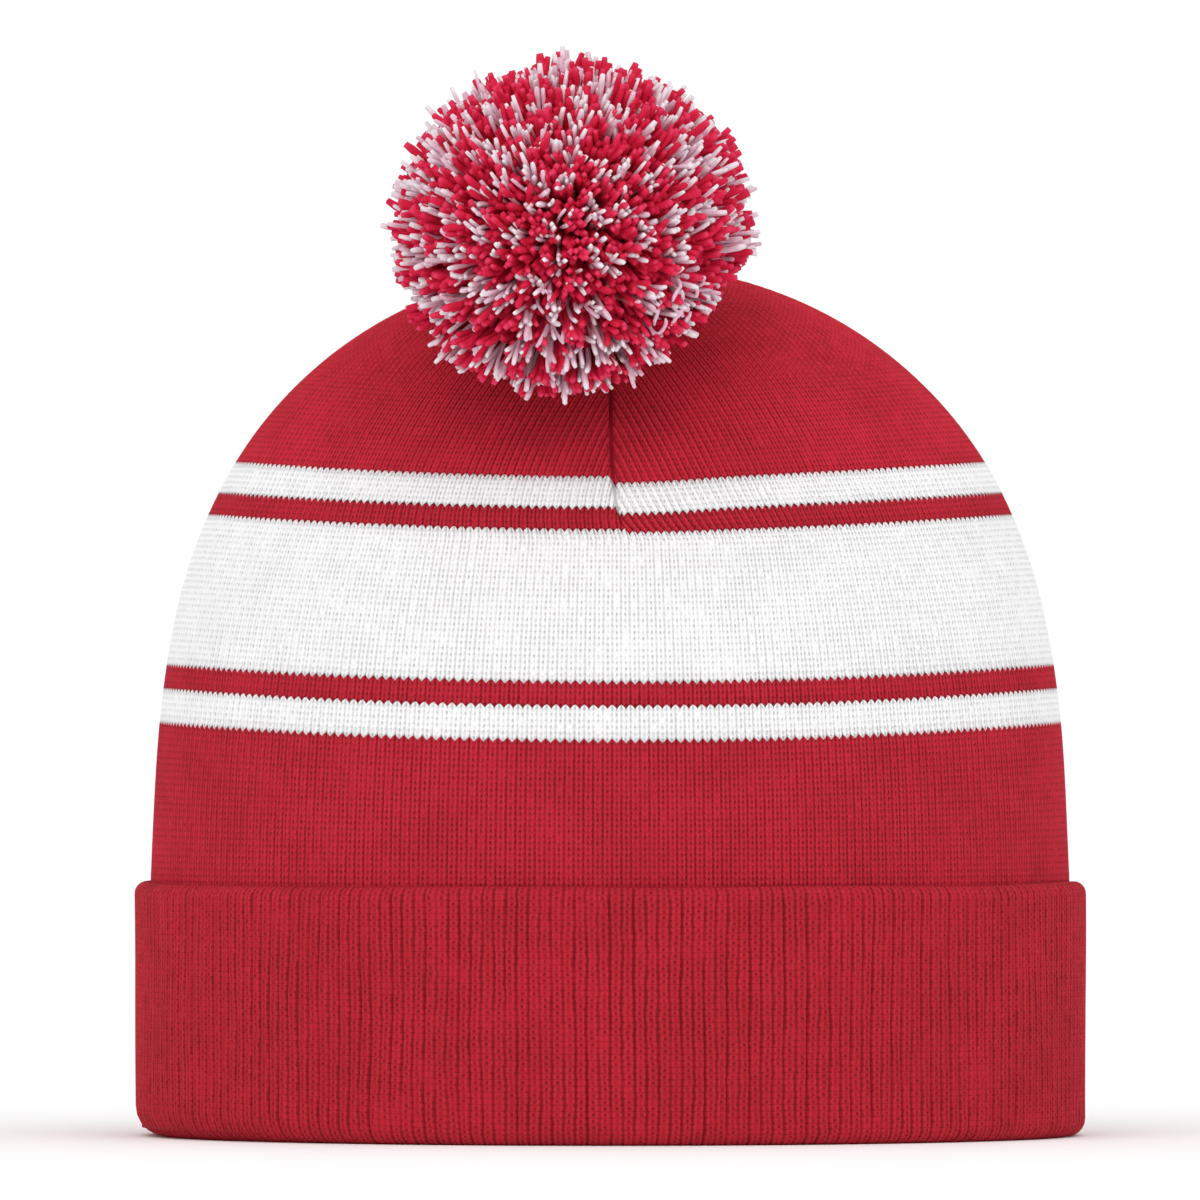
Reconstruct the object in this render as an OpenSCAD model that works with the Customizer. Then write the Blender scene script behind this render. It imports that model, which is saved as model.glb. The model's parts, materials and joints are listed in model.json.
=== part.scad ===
// Pom pom beanie: a two-layer rib-knit hat with a turned-up cuff, striped body,
// darted crown and a two-colour yarn pom pom tied to the top of the crown.
// Origin: centre of the cuff's bottom edge. +Z up, the front faces -Y.

/* [Hat body] */
// Width of the knitted body just above the cuff, side to side
hat_w = 217; // [180:1:261]
// Depth of the knitted body just above the cuff, front to back
hat_d = 172; // [143:1:207]
// Height from the cuff's bottom edge to the top of the crown
hat_h = 206; // [170:1:248]
// Thickness of one layer of knit
ply = 2; // [1.5:0.1:2.6]
// How much the body narrows in width from cuff to crown, as a share
side_taper = 0.05; // [0:0.01:0.1]
// Fullness of the dome seen from the front: more is squarer
front_fullness = 3.2; // [2.4:0.1:4]
// Fullness of the dome seen from the side: more is squarer
side_fullness = 2.3; // [1.9:0.1:3]
// Roundness of the crown's ridge seen from the side: less is rounder
ridge_power = 0.7; // [0.6:0.05:0.8]

/* [Cuff] */
// Height of the turned-up cuff
cuff_h = 60; // [45:1:75]

/* [Stripes, from the crown down] */
// Height of the red cap at the top of the crown
cap_h = 49; // [40:1:59]
// Height of the narrow white stripe under the cap
upper_white_h = 7.2; // [5:0.1:9]
// Height of the narrow red stripe above the wide band
upper_red_h = 5.2; // [4:0.1:7]
// Height of the wide white band
wide_white_h = 35.4; // [28:0.1:43]
// Height of the narrow red stripe under the wide band
lower_red_h = 5.6; // [4:0.1:7]
// Height of the narrow white stripe above the red body
lower_white_h = 8; // [6:0.1:10]

/* [Crown seams] */
// Width of the sewn seam inside each crown dart
seam_w = 3; // [2:0.1:4]
// Thickness of the sewn seam
seam_t = 1.4; // [1:0.1:2]
// Length of each dart, measured down from the top of the crown
dart_h = 61; // [48:1:74]

/* [Pom pom] */
// Diameter of the trimmed ball of yarn
pom_d = 82; // [68:0.1:99]
// Length of tie left free between its bend at the crown and the ball
tie_free = 8; // [6:0.5:11]
// Angle of the tie, leaning forward from upright
pom_lean = 80.5; // [70:0.5:82]
// Angle by which the pom pom leans to the wearer's right of straight ahead
pom_turn = 9.5; // [0:0.5:15]
// How far the ball rolls on its tie to each side before its strands stop it
roll = 15; // [0:1:20]
// How far the pom pom sways sideways, on top of that roll, with yarn still clear of the crown
sway = 10; // [0:1:15]
// Number of wedges of yarn, alternately red and white
yarn_wedges = 12; // [8:2:16]
// Radius of the yarn wound round the pom pom's waist
binding_r = 5; // [3:0.1:7]
// Height of that binding
binding_h = 4; // [3:0.1:6]

/* [Tie thread] */
// Radius of the twisted tie thread
tie_r = 0.9; // [0.6:0.1:1.2]
// Radius of the bend in the tie on top of the crown
loop_r = 1.5; // [1.3:0.1:2]
// Radius of the knot inside the crown
knot_r = 3; // [2:0.1:3.5]

/* [Care label] */
// Width of the blank label
label_w = 30; // [20:1:40]
// Length of the label's free flap
label_l = 36; // [25:1:45]
// Height of the strip that is sewn down
hem_h = 5; // [3:0.1:7]
// Thickness of the folded tape
label_t = 0.6; // [0.4:0.1:1]
// Height of the fold that the flap swings on
label_z = 66; // [58:1:80]
// Number of stitches through the strip
stitch_count = 9; // [5:1:13]
// Radius of a stitch
stitch_r = 0.4; // [0.3:0.05:0.6]

/* [Fit] */
// Clearance between pieces that move on each other
clearance = 0.3; // [0.2:0.05:0.5]
// Gap between the pom pom and the crown where it rests
rest_gap = 1.2; // [0.8:0.1:2]

/* [Fineness] */
// Facets round each knitted layer
sides = 40; // [24:4:56]
// Steps up the dome of the crown
dome_steps = 8; // [6:1:12]

/* [Hidden] */
$fn = 48;

red = [0.72, 0.1, 0.18];
white = [0.95, 0.95, 0.95];

// Layers are counted inwards from the body's outer face, so the cuff has negative depths.
lining_face = ply + clearance;
inner_face = lining_face + ply;
cuff_outside = -2 * ply;

// Stripe edges, from the crown down
cap_z = hat_h - cap_h;
upper_red_z = cap_z - upper_white_h;
wide_white_z = upper_red_z - upper_red_h;
lower_red_z = wide_white_z - wide_white_h;
lower_white_z = lower_red_z - lower_red_h;
body_z = lower_white_z - lower_white_h;

// The tie bends just above the crown, and everything on it is placed from there.
pivot_z = hat_h + loop_r + clearance;
tie_len = pom_d / 2 + tie_free;

// The crown falls away from the pivot at least this steeply, front and back.
fall_step = 0.05;
fall_end = 0.45;
crown_fall = min([
    for (share = [fall_step : fall_step : fall_end])
        let (z = hat_h * (1 - share))
            atan2(pivot_z - z - rest_gap, half_d(z, 0) + rest_gap)
]);
// The yarn facing the crown is pressed flat, along planes through the pivot that clear the
// crown while the pom pom swings sideways and rolls on its tie.
swing_allowance = 4;
press_angle = 90 - pom_lean + crown_fall - swing_allowance;
press_spread = roll + sway;

// How far up the dome a height is, from 0 at the cuff to 1 at the top of a layer
function rise(z, depth) = max(0, (z - cuff_h) / (hat_h - depth - cuff_h));
function half_w(z, depth) =
    let (u = rise(z, depth))
        (hat_w / 2 - depth) * (1 - side_taper * u) * sqrt(max(0, 1 - pow(u, front_fullness)));
function half_d(z, depth) =
    let (u = rise(z, depth))
        (hat_d / 2 - depth) * pow(max(0, 1 - pow(u, side_fullness)), ridge_power);

// One point of a layer, and one ring of it
function knit_point(z, depth, turn) =
    [half_w(z, depth) * cos(turn), half_d(z, depth) * sin(turn), z];
function knit_ring(z, depth) =
    [for (i = [0 : sides - 1]) knit_point(z, depth, 360 * i / sides)];

// Heights of the rings of a dome that starts at z, closer together near the top
function dome_z(z, depth) =
    let (top = hat_h - depth)
        [for (k = [0 : dome_steps - 1]) top - (top - z) * pow(1 - k / dome_steps, 2)];
function even_z(z_low, z_high, steps) =
    [for (k = [0 : steps]) z_low + (z_high - z_low) * k / steps];

// Heights of the rings of the outer layer's inner face, which the lining's rings repeat
band_steps = 3;
body_steps = 4;
function straight_z() = concat(
    even_z(ply, body_z, body_steps), [lower_white_z],
    even_z(lower_red_z, wide_white_z, band_steps), [upper_red_z]
);
function layer_z(depth) = concat(straight_z(), dome_z(cap_z, depth));

function reversed(list) = [for (i = [len(list) - 1 : -1 : 0]) list[i]];
function joined(lists) = [for (part = lists) each part];

// Triangles between ring a and ring b of a list of rings that all have n points
function ring_band(a, b, n) = [
    for (i = [0 : n - 1])
        let (j = (i + 1) % n)
            each [
                [a * n + i, b * n + i, b * n + j],
                [a * n + i, b * n + j, a * n + j]
            ]
];

// Closed tube of rings: the last ring joins the first
module ring_solid(rings) {
    n = len(rings[0]);
    count = len(rings);
    polyhedron(
        points = joined(rings),
        faces = joined([for (k = [0 : count - 1]) ring_band(k, (k + 1) % count, n)])
    );
}

// A belt of one layer, from z_low to z_high
module knit_belt(z_low, z_high, depth, steps) {
    levels = even_z(z_low, z_high, steps);
    ring_solid(concat(
        [for (z = levels) knit_ring(z, depth)],
        [for (z = reversed(levels)) knit_ring(z, depth + ply)]
    ));
}

// A layer closed over the crown, with its outer and inner faces' rings at the given heights
module knit_cap(outer, inner, depth) {
    count = len(outer);
    n = sides;
    rings = concat(
        [for (z = reversed(outer)) knit_ring(z, depth)],
        [for (z = inner) knit_ring(z, depth + ply)]
    );
    outer_pole = 2 * count * n;
    inner_pole = outer_pole + 1;
    last = (2 * count - 1) * n;
    polyhedron(
        points = concat(joined(rings), [[0, 0, hat_h - depth], [0, 0, hat_h - depth - ply]]),
        faces = concat(
            joined([for (k = [0 : 2 * count - 2]) [for (t = ring_band(k, k + 1, n)) reversed(t)]]),
            [for (i = [0 : n - 1]) [outer_pole, (i + 1) % n, i]],
            [for (i = [0 : n - 1]) [inner_pole, last + i, last + (i + 1) % n]]
        )
    );
}

module crown_knit() {
    color(red) knit_cap(dome_z(cap_z, 0), dome_z(cap_z, ply), 0);
}

module upper_white_stripe() {
    color(white) knit_belt(upper_red_z, cap_z, 0, 1);
}

module upper_red_stripe() {
    color(red) knit_belt(wide_white_z, upper_red_z, 0, 1);
}

module wide_white_band() {
    color(white) knit_belt(lower_red_z, wide_white_z, 0, band_steps);
}

module lower_red_stripe() {
    color(red) knit_belt(lower_white_z, lower_red_z, 0, 1);
}

module lower_white_stripe() {
    color(white) knit_belt(body_z, lower_white_z, 0, 1);
}

module body_knit() {
    color(red) knit_belt(ply, body_z, 0, body_steps);
}

module lining() {
    color(red)
        knit_cap(layer_z(lining_face), layer_z(inner_face), lining_face);
}

// An arc of radius ply in (depth, z), from one angle to another round a centre
corner_step = 30;
function corner(depth, z, from, to) =
    [for (t = [from : corner_step : to]) [depth - ply * cos(t), z + ply * sin(t)]];

// The outermost layer: up from the turn at the bottom, and rolled over at the top
module cuff_face() {
    outline = concat(
        corner(inner_face - ply, ply, 180, 270),
        corner(cuff_outside + ply, ply, -90, 0),
        corner(cuff_outside + ply, cuff_h - ply, 0, 90),
        reversed([for (t = [0 : corner_step : 60]) [-ply + ply * cos(t), cuff_h - ply + ply * sin(t)]]),
        [[-ply, cuff_h - ply], [-ply, ply]]
    );
    color(red) ring_solid([
        for (p = outline)
            [for (i = [0 : sides - 1])
                let (turn = 360 * i / sides)
                    [(hat_w / 2 - p[0]) * cos(turn), (hat_d / 2 - p[0]) * sin(turn), p[1]]]
    ]);
}

module cuff_backing() {
    color(red) ring_solid([
        for (p = [[-ply, ply], [-ply, cuff_h - ply], [0, cuff_h - ply], [0, ply]])
            [for (i = [0 : sides - 1])
                let (turn = 360 * i / sides)
                    [(hat_w / 2 - p[0]) * cos(turn), (hat_d / 2 - p[0]) * sin(turn), p[1]]]
    ]);
}

// A sewn seam inside one dart, on the lining's inner face
module crown_seam(turn) {
    side = [-sin(turn), cos(turn), 0] * seam_w / 2;
    outer = inner_face + clearance;
    low = hat_h - dart_h;
    high = hat_h - outer - seam_t - knot_r;
    levels = concat([low], [for (z = layer_z(inner_face)) if (z > low && z < high) z]);
    rings = [
        for (z = levels)
            let (
                a = knit_point(z, outer, turn),
                b = knit_point(z, outer + seam_t, turn)
            )
                [a - side, a + side, b + side, b - side]
    ];
    last = 4 * (len(rings) - 1);
    color(red) polyhedron(
        points = joined(rings),
        faces = concat(
            joined([for (k = [0 : len(rings) - 2]) ring_band(k, k + 1, 4)]),
            [[0, 1, 2], [0, 2, 3], [last, last + 2, last + 1], [last, last + 3, last + 2]]
        )
    );
}

module crown_seam_front() {
    crown_seam(270);
}

module crown_seam_back() {
    crown_seam(90);
}

module crown_seam_left() {
    crown_seam(0);
}

module crown_seam_right() {
    crown_seam(180);
}

// The knot under the lining, and its thread up through both layers
module tie_anchor_knot() {
    knot_z = hat_h - inner_face - knot_r - clearance;
    color(red) union() {
        translate([0, 0, knot_z]) sphere(r = knot_r);
        translate([0, 0, knot_z]) cylinder(r = tie_r, h = hat_h - knot_z);
    }
}

module tie_loop() {
    color(red) translate([0, 0, pivot_z]) sphere(r = loop_r);
}

// Places what is on the tie: its local +Z runs from the bend to the ball's centre.
module on_tie() {
    translate([0, 0, pivot_z]) rotate([0, 0, -pom_turn]) rotate([pom_lean, 0, 0]) children();
}

module tie_shank() {
    start = loop_r + clearance;
    color(red) on_tie() translate([0, 0, start])
        cylinder(r = tie_r, h = tie_len + binding_h / 2 - start);
}

module pom_binding() {
    color(red) on_tie() translate([0, 0, tie_len - binding_h / 2]) difference() {
        cylinder(r = binding_r, h = binding_h);
        translate([0, 0, -1]) cylinder(r = tie_r + clearance, h = binding_h + 2);
    }
}

// Half of the ball's section about the tie, hollow where the tie and the binding go
module yarn_section() {
    reach = tie_len + pom_d;
    difference() {
        translate([0, tie_len]) circle(d = pom_d);
        translate([-pom_d, -pom_d]) square([pom_d + tie_r + clearance, reach + pom_d]);
        translate([0, tie_len - binding_h / 2]) square([binding_r, binding_h]);
    }
}

// What the crown presses off the ball on its lower side
module crown_press() {
    half = 2 * pom_d;
    for (turn = [-press_spread, 0, press_spread])
        rotate([0, 0, turn]) rotate([press_angle - 90, 0, 0])
            translate([-half, -half, -2 * half]) cube(2 * half);
}

module yarn_wedges_from(first) {
    width = 360 / yarn_wedges;
    on_tie() difference() {
        for (k = [first : 2 : yarn_wedges - 1])
            rotate([0, 0, k * width]) rotate_extrude(angle = width) yarn_section();
        crown_press();
    }
}

module pom_red_yarn() {
    color(red) yarn_wedges_from(0);
}

module pom_white_yarn() {
    color(white) yarn_wedges_from(1);
}

// The label lies flat at the back, clear of the lining's curve at its edges.
function label_y() =
    let (edge = asin(min(1, label_w / 2 / half_w(label_z, inner_face))))
        half_d(label_z + hem_h, inner_face) * cos(edge + 360 / sides / 2) - clearance - label_t;

// The flap folds up past level before it meets the strip above it.
module label_hem() {
    fold_gap = 2 * clearance;
    color(white) translate([-label_w / 2, label_y(), label_z + fold_gap])
        cube([label_w, label_t, hem_h - fold_gap]);
}

module label_flap() {
    color(white) translate([-label_w / 2, label_y(), label_z - label_l])
        cube([label_w, label_t, label_l]);
}

module label_stitches() {
    pitch = label_w / (stitch_count + 1);
    reach = half_d(label_z, inner_face) + ply / 2 - label_y();
    color(red) for (k = [1 : stitch_count])
        translate([k * pitch - label_w / 2, label_y() - stitch_r, label_z + hem_h / 2])
            rotate([-90, 0, 0]) cylinder(r = stitch_r, h = reach);
}

crown_knit();
upper_white_stripe();
upper_red_stripe();
wide_white_band();
lower_red_stripe();
lower_white_stripe();
body_knit();
lining();
cuff_face();
cuff_backing();
crown_seam_front();
crown_seam_back();
crown_seam_left();
crown_seam_right();
tie_anchor_knot();
tie_loop();
tie_shank();
pom_binding();
pom_red_yarn();
pom_white_yarn();
label_hem();
label_flap();
label_stitches();
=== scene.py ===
import json
import math

import bpy
import numpy as np
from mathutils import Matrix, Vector


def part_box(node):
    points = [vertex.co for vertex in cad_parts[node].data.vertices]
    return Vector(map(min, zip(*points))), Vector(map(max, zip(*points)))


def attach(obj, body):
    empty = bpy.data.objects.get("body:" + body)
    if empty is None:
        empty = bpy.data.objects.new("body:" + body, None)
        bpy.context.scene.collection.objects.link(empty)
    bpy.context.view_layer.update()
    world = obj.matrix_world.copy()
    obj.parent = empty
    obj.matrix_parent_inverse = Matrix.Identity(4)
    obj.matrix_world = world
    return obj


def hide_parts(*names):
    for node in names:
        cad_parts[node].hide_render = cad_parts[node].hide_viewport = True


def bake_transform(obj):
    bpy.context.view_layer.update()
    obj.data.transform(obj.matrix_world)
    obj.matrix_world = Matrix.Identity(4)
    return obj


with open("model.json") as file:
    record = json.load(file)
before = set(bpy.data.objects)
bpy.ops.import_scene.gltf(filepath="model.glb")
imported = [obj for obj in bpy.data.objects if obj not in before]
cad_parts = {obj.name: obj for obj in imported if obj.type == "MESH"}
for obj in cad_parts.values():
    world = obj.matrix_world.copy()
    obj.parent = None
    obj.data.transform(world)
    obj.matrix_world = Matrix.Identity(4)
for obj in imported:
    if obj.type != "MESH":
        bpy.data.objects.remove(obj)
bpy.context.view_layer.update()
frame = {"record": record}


# ---------------- sizes from the frame

def corner(node, side, axis):
    """One coordinate of a CAD node's box: side 0 is low and 1 is high."""
    return float(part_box(node)[side]["xyz".index(axis)])


HALF_W = corner("body_knit", 1, "x")
HALF_D = corner("body_knit", 1, "y")
PLY = corner("body_knit", 0, "z")
HAT_H = corner("crown_knit", 1, "z")
CUFF_H = corner("cuff_face", 1, "z")
CAP_Z = corner("crown_knit", 0, "z")
UPPER_RED_Z = corner("upper_white_stripe", 0, "z")
WIDE_WHITE_Z = corner("upper_red_stripe", 0, "z")
LOWER_RED_Z = corner("wide_white_band", 0, "z")
LOWER_WHITE_Z = corner("lower_red_stripe", 0, "z")
BODY_Z = corner("lower_white_stripe", 0, "z")

# Layers are counted inwards from the body's outer face.
LINING_FACE = HALF_W - corner("lining", 1, "x")
INNER_FACE = LINING_FACE + PLY
CUFF_FACE = HALF_W - corner("cuff_face", 1, "x")

# The dome's fullness, as the CAD model has it
SIDE_TAPER = 0.05
FRONT_FULLNESS = 3.2
SIDE_FULLNESS = 2.3
RIDGE_POWER = 0.7

JOINTS = {j["name"]: j for j in frame["record"]["behaviour"]["joints"]}
PIVOT = np.array(JOINTS["pom_nod"]["pos_m"])
TIE_AXIS = np.array(JOINTS["pom_roll"]["axis"])
POM_CENTRE = np.array(JOINTS["pom_roll"]["pos_m"])

# ---------------- how the knit is made

# Wales are the columns of stitches round the hat, and courses are the rows of them.
BODY_WALES = 280
CUFF_WALES = 232
LINING_WALES = 232
BACKING_WALES = 116
FINE = 8  # mesh columns in one wale
HIDDEN_FINE = 4  # the same in the layers that hardly show
COURSE = 0.00145  # height of a course
LEG_DROP = 0.0011  # height of the V that the legs of a stitch make
BODY_GROOVE = 0.00050  # depths of the grooves between wales
CUFF_GROOVE = 0.00080
LINING_GROOVE = 0.00035
BACKING_GROOVE = 0.0002
GROOVE_HALF = 0.11  # half the width of such a groove, in wales
MIDDLE_HALF = 0.1  # half the width of the dip at the middle of a wale, in wales
BODY_WOBBLE = 0.0001  # the body's face is uneven by this much
WOBBLE_RATE = 6  # bumps in one radian of that unevenness
WOBBLE_HEIGHT = 0.02  # height of one of its bumps
BODY_STEP = 0.0027  # distances between mesh rows
CROWN_STEP = 0.0026
LINING_STEP = 0.004
BACKING_STEP = 0.008
CROWN_PLAIN_STEP = 0.008
LINING_PLAIN_STEP = 0.012
INNER_ROWS = 3  # mesh rows on the plain back of a belt
DOME_TOP = HAT_H - 0.00004  # the highest ring of mesh, just under the pole

# The darts
DART_Z = WIDE_WHITE_Z + 0.0005
DART_FOOT = 0.002  # height over which a dart's sewn line opens
DART_SHARE = 0.8  # share of the crown's narrowing that the darts take up
SEAM_HALF = 0.0004  # half the width of that sewn line
SEAM_DEPTH = 2.2  # its depth, in grooves
SEAM_STEP = 0.0015  # the stripes meet this much out of line at the front dart
STEP_HALF = 0.004  # half the height over which that step sets in
STEP_START = 1e-6  # angle on the right where it begins, past the dart's own line
STEP_REACH = 0.28  # the angle over which it fades away, on the right
SEAM_LEAN = 0.0048  # the foot of the front dart is drawn this far to one side
LEAN_HEIGHT = 0.008  # the height over which that lean fades away
LEAN_REACH = 0.6  # the angle over which it fades away

# The courses
DIP = 0.0019  # they dip this much at the front and back, and rise at the sides
LEVEL_FROM = 0.17  # from here up they come back to level
STRAIGHT_FROM = 0.185  # from here up the Vs of their legs are gone

# Smooth noise
RIPPLE_RATES = (1.5, 4.5)
PHASES = 6.3  # waves and curls start anywhere in about a full turn
RIPPLE_GAIN = 1.6  # brings the sum of its waves back to about -1 to 1

ARC_POINTS = 241  # points on a quarter of a ring, for measuring it
LINE_POINTS = 4001  # points on a whole ring or meridian, for measuring it
TINY = 1e-12
UP = np.array([0, 0, 1.0])


def smooth(x, low, high):
    """0 below low, 1 above high, and a smooth rise between them."""
    t = np.clip((np.asarray(x, float) - low) / (high - low), 0, 1)
    return t * t * (3 - 2 * t)


def ripple(x, y, waves, seed):
    """Smooth noise from about -1 to 1 over two coordinates whose unit is one bump."""
    local = np.random.default_rng(seed)
    total = 0
    for _ in range(waves):
        turn = local.uniform(0, 2 * math.pi)
        rate = local.uniform(*RIPPLE_RATES)
        phase = local.uniform(0, PHASES)
        total = total + np.sin(rate * (x * math.cos(turn) + y * math.sin(turn)) + phase)
    return total / waves * RIPPLE_GAIN


def unit(vectors):
    return vectors / (np.linalg.norm(vectors, axis=-1, keepdims=True) + TINY)


def lengths_along(points):
    """Length of a line from its first point to each of its points."""
    return np.concatenate([[0], np.cumsum(np.linalg.norm(np.diff(points, axis=0), axis=1))])


def surface(turn, z, depth):
    """Points of the hat's tube and dome, at heights counted on the outer face."""
    u = np.clip((z - CUFF_H) / (HAT_H - CUFF_H), 0, 1)
    w = (HALF_W - depth) * (1 - SIDE_TAPER * u) * np.sqrt(1 - u ** FRONT_FULLNESS)
    d = (HALF_D - depth) * (1 - u ** SIDE_FULLNESS) ** RIDGE_POWER
    return np.stack([w * np.cos(turn), d * np.sin(turn), z - depth * u], -1)


def quarter_arc(z):
    """Arc length along a quarter of the ring at height z, from the side to the front or back."""
    angles = np.linspace(0, math.pi / 2, ARC_POINTS)
    return angles, lengths_along(surface(angles, np.full_like(angles, z), 0))


LAST_STRAIGHT_ARC = quarter_arc(DART_Z)[1][-1]


def ring_turns(z, wales, fine):
    """Turn, wale number and sewn-in flag of each mesh column in the ring at height z.

    Below the darts the wales share the ring evenly. Above them the wales keep their width, so
    those beside the four seams run into the seam and end there.
    """
    angles, arc = quarter_arc(z)
    length = arc[-1]
    in_quarter = wales // 4
    number = np.arange(in_quarter * fine) / fine
    shown = in_quarter
    if z > DART_Z:
        shown = in_quarter * min(1, length / LAST_STRAIGHT_ARC) ** DART_SHARE
    pitch = length / shown
    gap = min(SEAM_HALF * float(smooth(z, DART_Z, DART_Z + DART_FOOT)), length / 4)
    place = length / 2 + (number - in_quarter / 2) * pitch
    sewn = ((place < gap) | (place > length - gap)) & (gap > 0)
    held = np.clip(place, gap, length - gap)
    held_number = (held - length / 2) / pitch + in_quarter / 2
    turns = []
    for k in range(4):
        mirrored = k % 2 == 1
        along = np.interp(length - held if mirrored else held, arc, angles)
        turns.append(k * math.pi / 2 + (math.pi / 2 - along if mirrored else along))
    numbers = [held_number + k * in_quarter for k in range(4)]
    return np.concatenate(turns), np.concatenate(numbers), np.tile(sewn, 4)


def wale_relief(number, groove, middle=0.3):
    """How far the face sinks, for a wale number: deep between wales, less at the middle of one."""
    part = number - np.floor(number)
    edge = np.minimum(part, 1 - part)
    dip = middle * np.exp(-((part - 0.5) / MIDDLE_HALF) ** 2)
    return groove * (np.exp(-(edge / GROOVE_HALF) ** 2) + dip)


def leg_drop(number):
    """Height of a course along a wale: a V whose point is at the middle of the wale."""
    part = number - np.floor(number)
    return LEG_DROP * (np.abs(2 * part - 1) - 0.5)


def from_front(turn):
    """Angle from the front dart, positive on its right."""
    return np.mod(turn - 0.5 * math.pi, 2 * math.pi) - math.pi


def leaned(turn, z):
    """Turns with the foot of the front dart drawn over to the right."""
    foot = np.exp(-np.maximum(z - DART_Z + DART_FOOT, 0) / LEAN_HEIGHT)
    return turn + SEAM_LEAN / HALF_W * foot * np.exp(-(from_front(turn) / LEAN_REACH) ** 2)


def course_shift(turn, z):
    """How far the courses lie above or below level on the finished hat."""
    ramp = smooth(z, CUFF_H, BODY_Z) * (1 - smooth(z, LEVEL_FROM, HAT_H))
    shift = DIP * np.cos(2 * turn) * ramp
    angle = from_front(turn)
    right = np.where(angle > STEP_START, np.exp(-(angle / STEP_REACH) ** 2), 0)
    return shift - SEAM_STEP * right * smooth(z, DART_Z - STEP_HALF, DART_Z + STEP_HALF) * ramp


# ---------------- meshes

LEAST_ROW = 1e-4  # added to a row's height where it is unwrapped, so that none is 0
CLOSING_ROW = 0.002  # height given to the row that joins the last row to the first
BAKE_EDGE = 0.001  # bare edge at the bottom and top of the unwrapped piece


def add_mesh(name, points, loops, totals, uvs):
    """A smooth mesh object from flat arrays, with the number of corners of each face in totals.

    uvs is a list of (name, coordinates of each corner).
    """
    starts = np.concatenate([[0], np.cumsum(totals)[:-1]])
    mesh = bpy.data.meshes.new(name)
    mesh.vertices.add(len(points))
    mesh.vertices.foreach_set("co", np.asarray(points, np.float32).ravel())
    mesh.loops.add(len(loops))
    mesh.loops.foreach_set("vertex_index", np.asarray(loops, np.int32))
    mesh.polygons.add(len(starts))
    mesh.polygons.foreach_set("loop_start", np.asarray(starts, np.int32))
    mesh.polygons.foreach_set("loop_total", np.asarray(totals, np.int32))
    mesh.polygons.foreach_set("use_smooth", np.full(len(starts), True))
    for uv_name, values in uvs:
        layer = mesh.uv_layers.new(name=uv_name)
        layer.uv.foreach_set("vector", np.asarray(values, np.float32).ravel())
    mesh.update(calc_edges=True)
    mesh.validate()
    obj = bpy.data.objects.new(name, mesh)
    bpy.context.scene.collection.objects.link(obj)
    return obj


def grid_piece(name, points, merge, knit, loop):
    """A closed shell from rows of points. merge gives each point's stand-in column in its row.

    A loop's last row joins its first. Otherwise the first and last rows are single points.
    """
    count, n = merge.shape
    index = np.arange(count)[:, None] * n + merge
    pairs = count if loop else count - 1
    r = np.repeat(np.arange(pairs), n)
    i = np.tile(np.arange(n), pairs)
    rows = np.stack([r, r, r + 1, r + 1], 1)
    cols = np.stack([i, i + 1, i + 1, i], 1)
    corners = index[rows % count, cols % n]
    keep = corners != np.roll(corners, 1, axis=1)
    good = keep.sum(1) >= 3
    keep &= good[:, None]
    row_heights = np.linalg.norm(np.diff(points, axis=0), axis=2).mean(1) + LEAST_ROW
    heights = np.concatenate([[0], np.cumsum(row_heights)])
    heights = np.append(heights, heights[-1] + CLOSING_ROW)
    upward = (heights / heights[-1])[rows] * (1 - 2 * BAKE_EDGE) + BAKE_EDGE
    bake = np.stack([cols / n, upward], -1)
    used, loops = np.unique(corners[keep], return_inverse=True)
    flat = points.reshape(-1, 3)[used]
    return add_mesh(name, flat, loops, keep.sum(1)[good],
                    [("knit", knit[rows, cols][keep]), ("OFBake", bake[keep])])


def stand_ins(sewn):
    """Stand-in column of each mesh column of a ring: those sewn in beside a seam become one."""
    column = np.arange(len(sewn))
    stand_in = column.copy()
    for part, flags in zip(np.split(column, 8), np.split(sewn, 8)):
        hit = part[flags]
        if len(hit):
            stand_in[hit] = hit[0]
    return stand_in


def knit_rows(levels, depth, wales, fine, groove, wobble=0.0):
    """Points, stand-in columns and knit coordinates of rows of one face of a layer."""
    points, merges, knits = [], [], []
    for z, course in levels:
        turn, number, sewn = ring_turns(z, wales, fine)
        relief = np.where(sewn, groove * SEAM_DEPTH, wale_relief(number, groove))
        uneven = ripple(turn * WOBBLE_RATE, z / WOBBLE_HEIGHT, waves=7, seed=5)
        relief = relief + wobble * (1 + uneven)
        legs = leg_drop(number) * (1 - smooth(z, LEVEL_FROM, STRAIGHT_FROM)) * (~sewn)
        height = z + course_shift(turn, z) + legs
        if z < PLY * 1.01:  # the legs of the lowest row don't hang below it
            height = np.maximum(height, z)
        points.append(surface(leaned(turn, z), np.minimum(height, HAT_H), depth + relief))
        merges.append(stand_ins(sewn))
        ends = np.append(number, number[0] + wales)
        knits.append(np.stack([ends, np.full(len(ends), course)], -1))
    return points, merges, knits


def meridian_levels(z_low, z_high, step):
    """Heights from z_low to z_high that are step apart along the dome, with course numbers."""
    z = np.linspace(z_low, z_high, LINE_POINTS)
    arc = lengths_along(surface(np.full_like(z, math.pi / 4), z, 0))
    count = max(2, int(round(arc[-1] / step)) + 1)
    places = np.linspace(0, arc[-1], count)
    return [(float(h), float(a / COURSE)) for h, a in zip(np.interp(places, arc, z), places)]


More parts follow.
